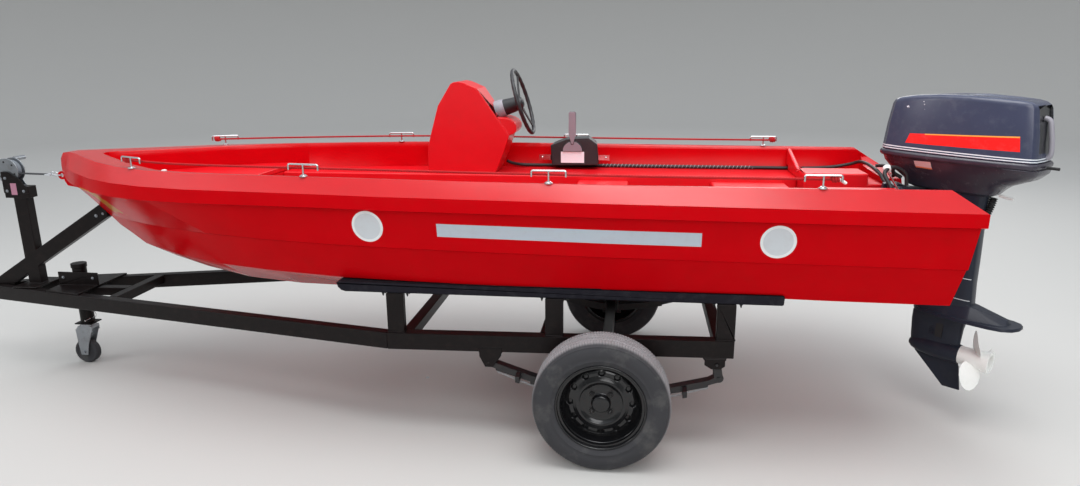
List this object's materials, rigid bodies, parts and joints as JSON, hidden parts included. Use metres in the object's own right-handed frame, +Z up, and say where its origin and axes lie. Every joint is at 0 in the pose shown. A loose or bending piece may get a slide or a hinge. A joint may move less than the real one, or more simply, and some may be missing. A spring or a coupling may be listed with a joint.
{
  "type": "inshore rescue boat on a road trailer",
  "caption": "Red open inshore rescue boat with side benches, helm console and tilting outboard motor, resting on a single-axle steel road trailer with winch stand and jockey wheel.",
  "frame": {"origin": "centre of the bounding box on the ground under the trailer", "axes": "+X towards the bow and coupler, +Y to port, +Z up, metres"},
  "size_m": [5.6012, 1.635, 1.582],
  "materials": {
    "red_shell": "glossy gel coat",
    "red_inside": "gel coat, lighter from the sun",
    "red_rope": "laid rope",
    "stainless": "polished stainless",
    "dark_plastic": "satin",
    "cable_black": "spiral wrapped cable",
    "cowl_blue": "gloss slate blue",
    "cowl_dark": "gloss dark blue-grey",
    "leg_blue": "satin dark blue-grey",
    "prop_white": "white paint",
    "frame_black": "black-brown paint on steel tube",
    "carpet": "dark carpet over timber",
    "zinc": "zinc plated steel",
    "wheel_black": "black paint on pressed steel",
    "tyre_rubber": "dusty rubber",
    "strap_grey": "woven strap"
  },
  "bodies": {
    "boat_and_trailer": {"hull": "red_shell", "thwart_centre": "red_inside", "thwart_aft": "red_inside", "bow_deck": "red_inside", "console": "red_inside", "remote_box": "dark_plastic", "control_cables": "cable_black", "bow_eye": "red_shell", "clamp_bracket": "leg_blue", "cross_member_1": "frame_black", "cross_member_2": "frame_black", "cross_member_3": "frame_black", "cross_member_4": "frame_black", "centre_bar": "frame_black", "axle": "frame_black", "winch_stand": "frame_black", "winch": "zinc", "winch_strap": "strap_grey", "jockey_mount": "frame_black", "jockey_leg": "frame_black", "coupler": "zinc", "bench_port": "red_inside", "aft_box_port": "red_inside", "rope_port": "red_rope", "handle_port_1": "stainless", "handle_port_2": "stainless", "handle_port_3": "stainless", "handle_port_4": "stainless", "side_frame_port": "frame_black", "drawbar_rail_port": "frame_black", "bunk_port": "carpet", "leaf_spring_port": "zinc", "shackle_port": "zinc", "bench_starboard": "red_inside", "aft_box_starboard": "red_inside", "rope_starboard": "red_rope", "handle_starboard_1": "stainless", "handle_starboard_2": "stainless", "handle_starboard_3": "stainless", "handle_starboard_4": "stainless", "side_frame_starboard": "frame_black", "drawbar_rail_starboard": "frame_black", "bunk_starboard": "carpet", "leaf_spring_starboard": "zinc", "shackle_starboard": "zinc"},
    "motor_bracket": {"swivel_bracket": "leg_blue"},
    "motor": {"top_cowl": "cowl_blue", "lower_cowl": "cowl_dark", "motor_leg": "leg_blue"},
    "prop": {"propeller": "prop_white"},
    "helm_wheel": {"steering_wheel": "dark_plastic"},
    "wheel_port": {"tyre_port": "tyre_rubber", "rim_port": "wheel_black"},
    "wheel_starboard": {"tyre_starboard": "tyre_rubber", "rim_starboard": "wheel_black"},
    "caster": {"caster_fork": "zinc"},
    "jockey_wheel": {"caster_wheel": "tyre_rubber"}
  },
  "joints": [
    {"name": "motor_tilt", "type": "hinge", "parent": "boat_and_trailer", "child": "motor_bracket", "pos_m": [-2.2414, 0, 1.056], "axis": [0, 1, 0], "range_deg": [0, 65]},
    {"name": "motor_steer", "type": "hinge", "parent": "motor_bracket", "child": "motor", "pos_m": [-2.39948, 0, 0.85817], "axis": [-0.0349, 0, 0.9994], "range_deg": [-2, 84]},
    {"name": "propeller_spin", "type": "hinge", "parent": "motor", "child": "prop", "pos_m": [-2.60698, 0.19682, 0.31259], "axis": [0.7542, -0.6561, 0.0263], "continuous": true},
    {"name": "helm_turn", "type": "hinge", "parent": "boat_and_trailer", "child": "helm_wheel", "pos_m": [-0.4584, -0.48, 1.408], "axis": [-0.9558, 0, 0.294], "range_deg": [-25, 1050]},
    {"name": "wheel_spin_port", "type": "hinge", "parent": "boat_and_trailer", "child": "wheel_port", "pos_m": [-0.9494, 0.735, 0.2815], "axis": [0, 1, 0], "continuous": true},
    {"name": "wheel_spin_starboard", "type": "hinge", "parent": "boat_and_trailer", "child": "wheel_starboard", "pos_m": [-0.9494, -0.735, 0.2815], "axis": [0, 1, 0], "continuous": true},
    {"name": "caster_swivel", "type": "hinge", "parent": "boat_and_trailer", "child": "caster", "pos_m": [1.9206, 0, 0.228], "axis": [0, 0, 1], "continuous": true},
    {"name": "jockey_spin", "type": "hinge", "parent": "caster", "child": "jockey_wheel", "pos_m": [1.9486, 0, 0.068], "axis": [0, 1, 0], "continuous": true}
  ],
  "couplings": [
    {"joint": "helm_turn", "follows": "motor_steer", "ratio": 12.5}
  ]
}
